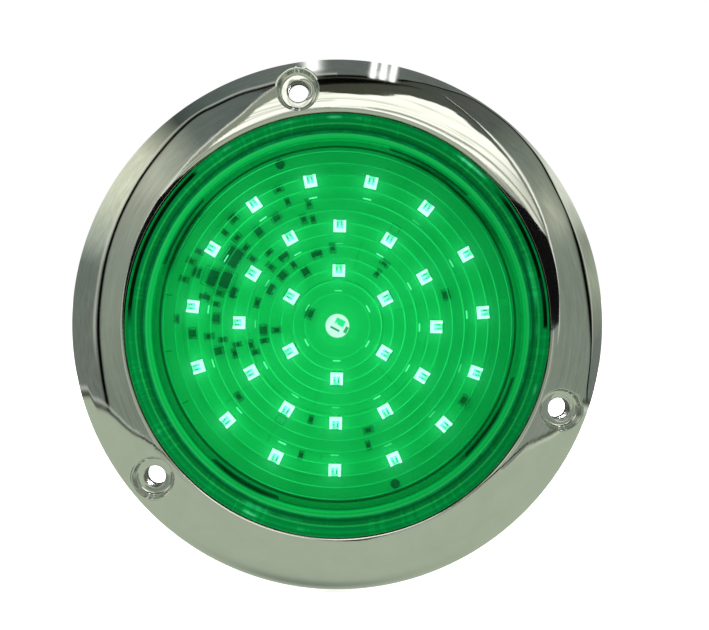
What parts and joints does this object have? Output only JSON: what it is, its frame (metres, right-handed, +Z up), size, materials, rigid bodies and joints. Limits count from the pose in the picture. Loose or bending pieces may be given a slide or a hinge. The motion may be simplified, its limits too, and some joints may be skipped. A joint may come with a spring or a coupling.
{
  "type": "trailer light",
  "caption": "Round surface-mount LED lamp for a trailer: green ring-optic lens in a domed chrome flange with three screw wells, black rear housing and a pull-off plug with wires.",
  "frame": {"origin": "centre of the screw circle in the mounting plane, which is the back face of the gasket", "axes": "-Y is the way the lens faces, +Z is up, +X is to the right as seen from the front; the panel the lamp is screwed to lies at +Y"},
  "size_m": [0.1396, 0.1159, 0.1396],
  "materials": {
    "chrome": "bright chrome plate, polished",
    "foam": "closed-cell foam, fine pores",
    "lens_green": "translucent green acrylic, clear and glossy, ring optics inside",
    "seal_rubber": "soft black rubber",
    "housing_black": "moulded black plastic, fine grain",
    "potting": "cast resin, semi-gloss",
    "board_white": "white solder mask on glass-fibre board",
    "retainer_white": "pale moulded ring",
    "led_body": "white moulded package, lit",
    "led_window": "clear resin window, lit",
    "solder": "tinned copper",
    "chip_dark": "dark chip body",
    "chip_tan": "sintered chip body",
    "pin_brass": "turned brass, lightly dulled",
    "plug_black": "moulded soft black plastic",
    "wire_white": "vinyl insulation, white",
    "wire_black": "vinyl insulation, black",
    "wire_red": "vinyl insulation, red",
    "copper": "stranded bare copper"
  },
  "bodies": {
    "flange": {"chrome_flange": "chrome", "mounting_gasket": "foam"},
    "lamp": {"lens": "lens_green", "lens_seal": "seal_rubber", "rear_housing": "housing_black", "potting_compound": "potting", "circuit_board": "board_white", "board_retainer": "retainer_white", "led_packages": "led_body", "led_windows": "led_window", "led_solder_pads": "solder", "chip_resistors": "chip_dark", "chip_capacitors": "chip_tan", "rectifier_diodes": "chip_dark", "driver_transistors": "chip_dark", "regulator_ic": "chip_dark", "terminal_pins": "pin_brass", "pin_solder": "solder"},
    "plug": {"plug_shell": "plug_black", "plug_contacts": "pin_brass", "plug_seal": "seal_rubber", "wire_ground": "wire_white", "wire_tail": "wire_black", "wire_stop": "wire_red", "strands_ground": "copper", "strands_tail": "copper", "strands_stop": "copper"}
  },
  "joints": [
    {"name": "lamp_release", "type": "slide", "parent": "flange", "child": "lamp", "axis": [0, 1, 0], "range_m": [0, 0.03]},
    {"name": "plug_pull", "type": "slide", "parent": "lamp", "child": "plug", "axis": [0, 1, 0], "range_m": [0, 0.02]}
  ]
}
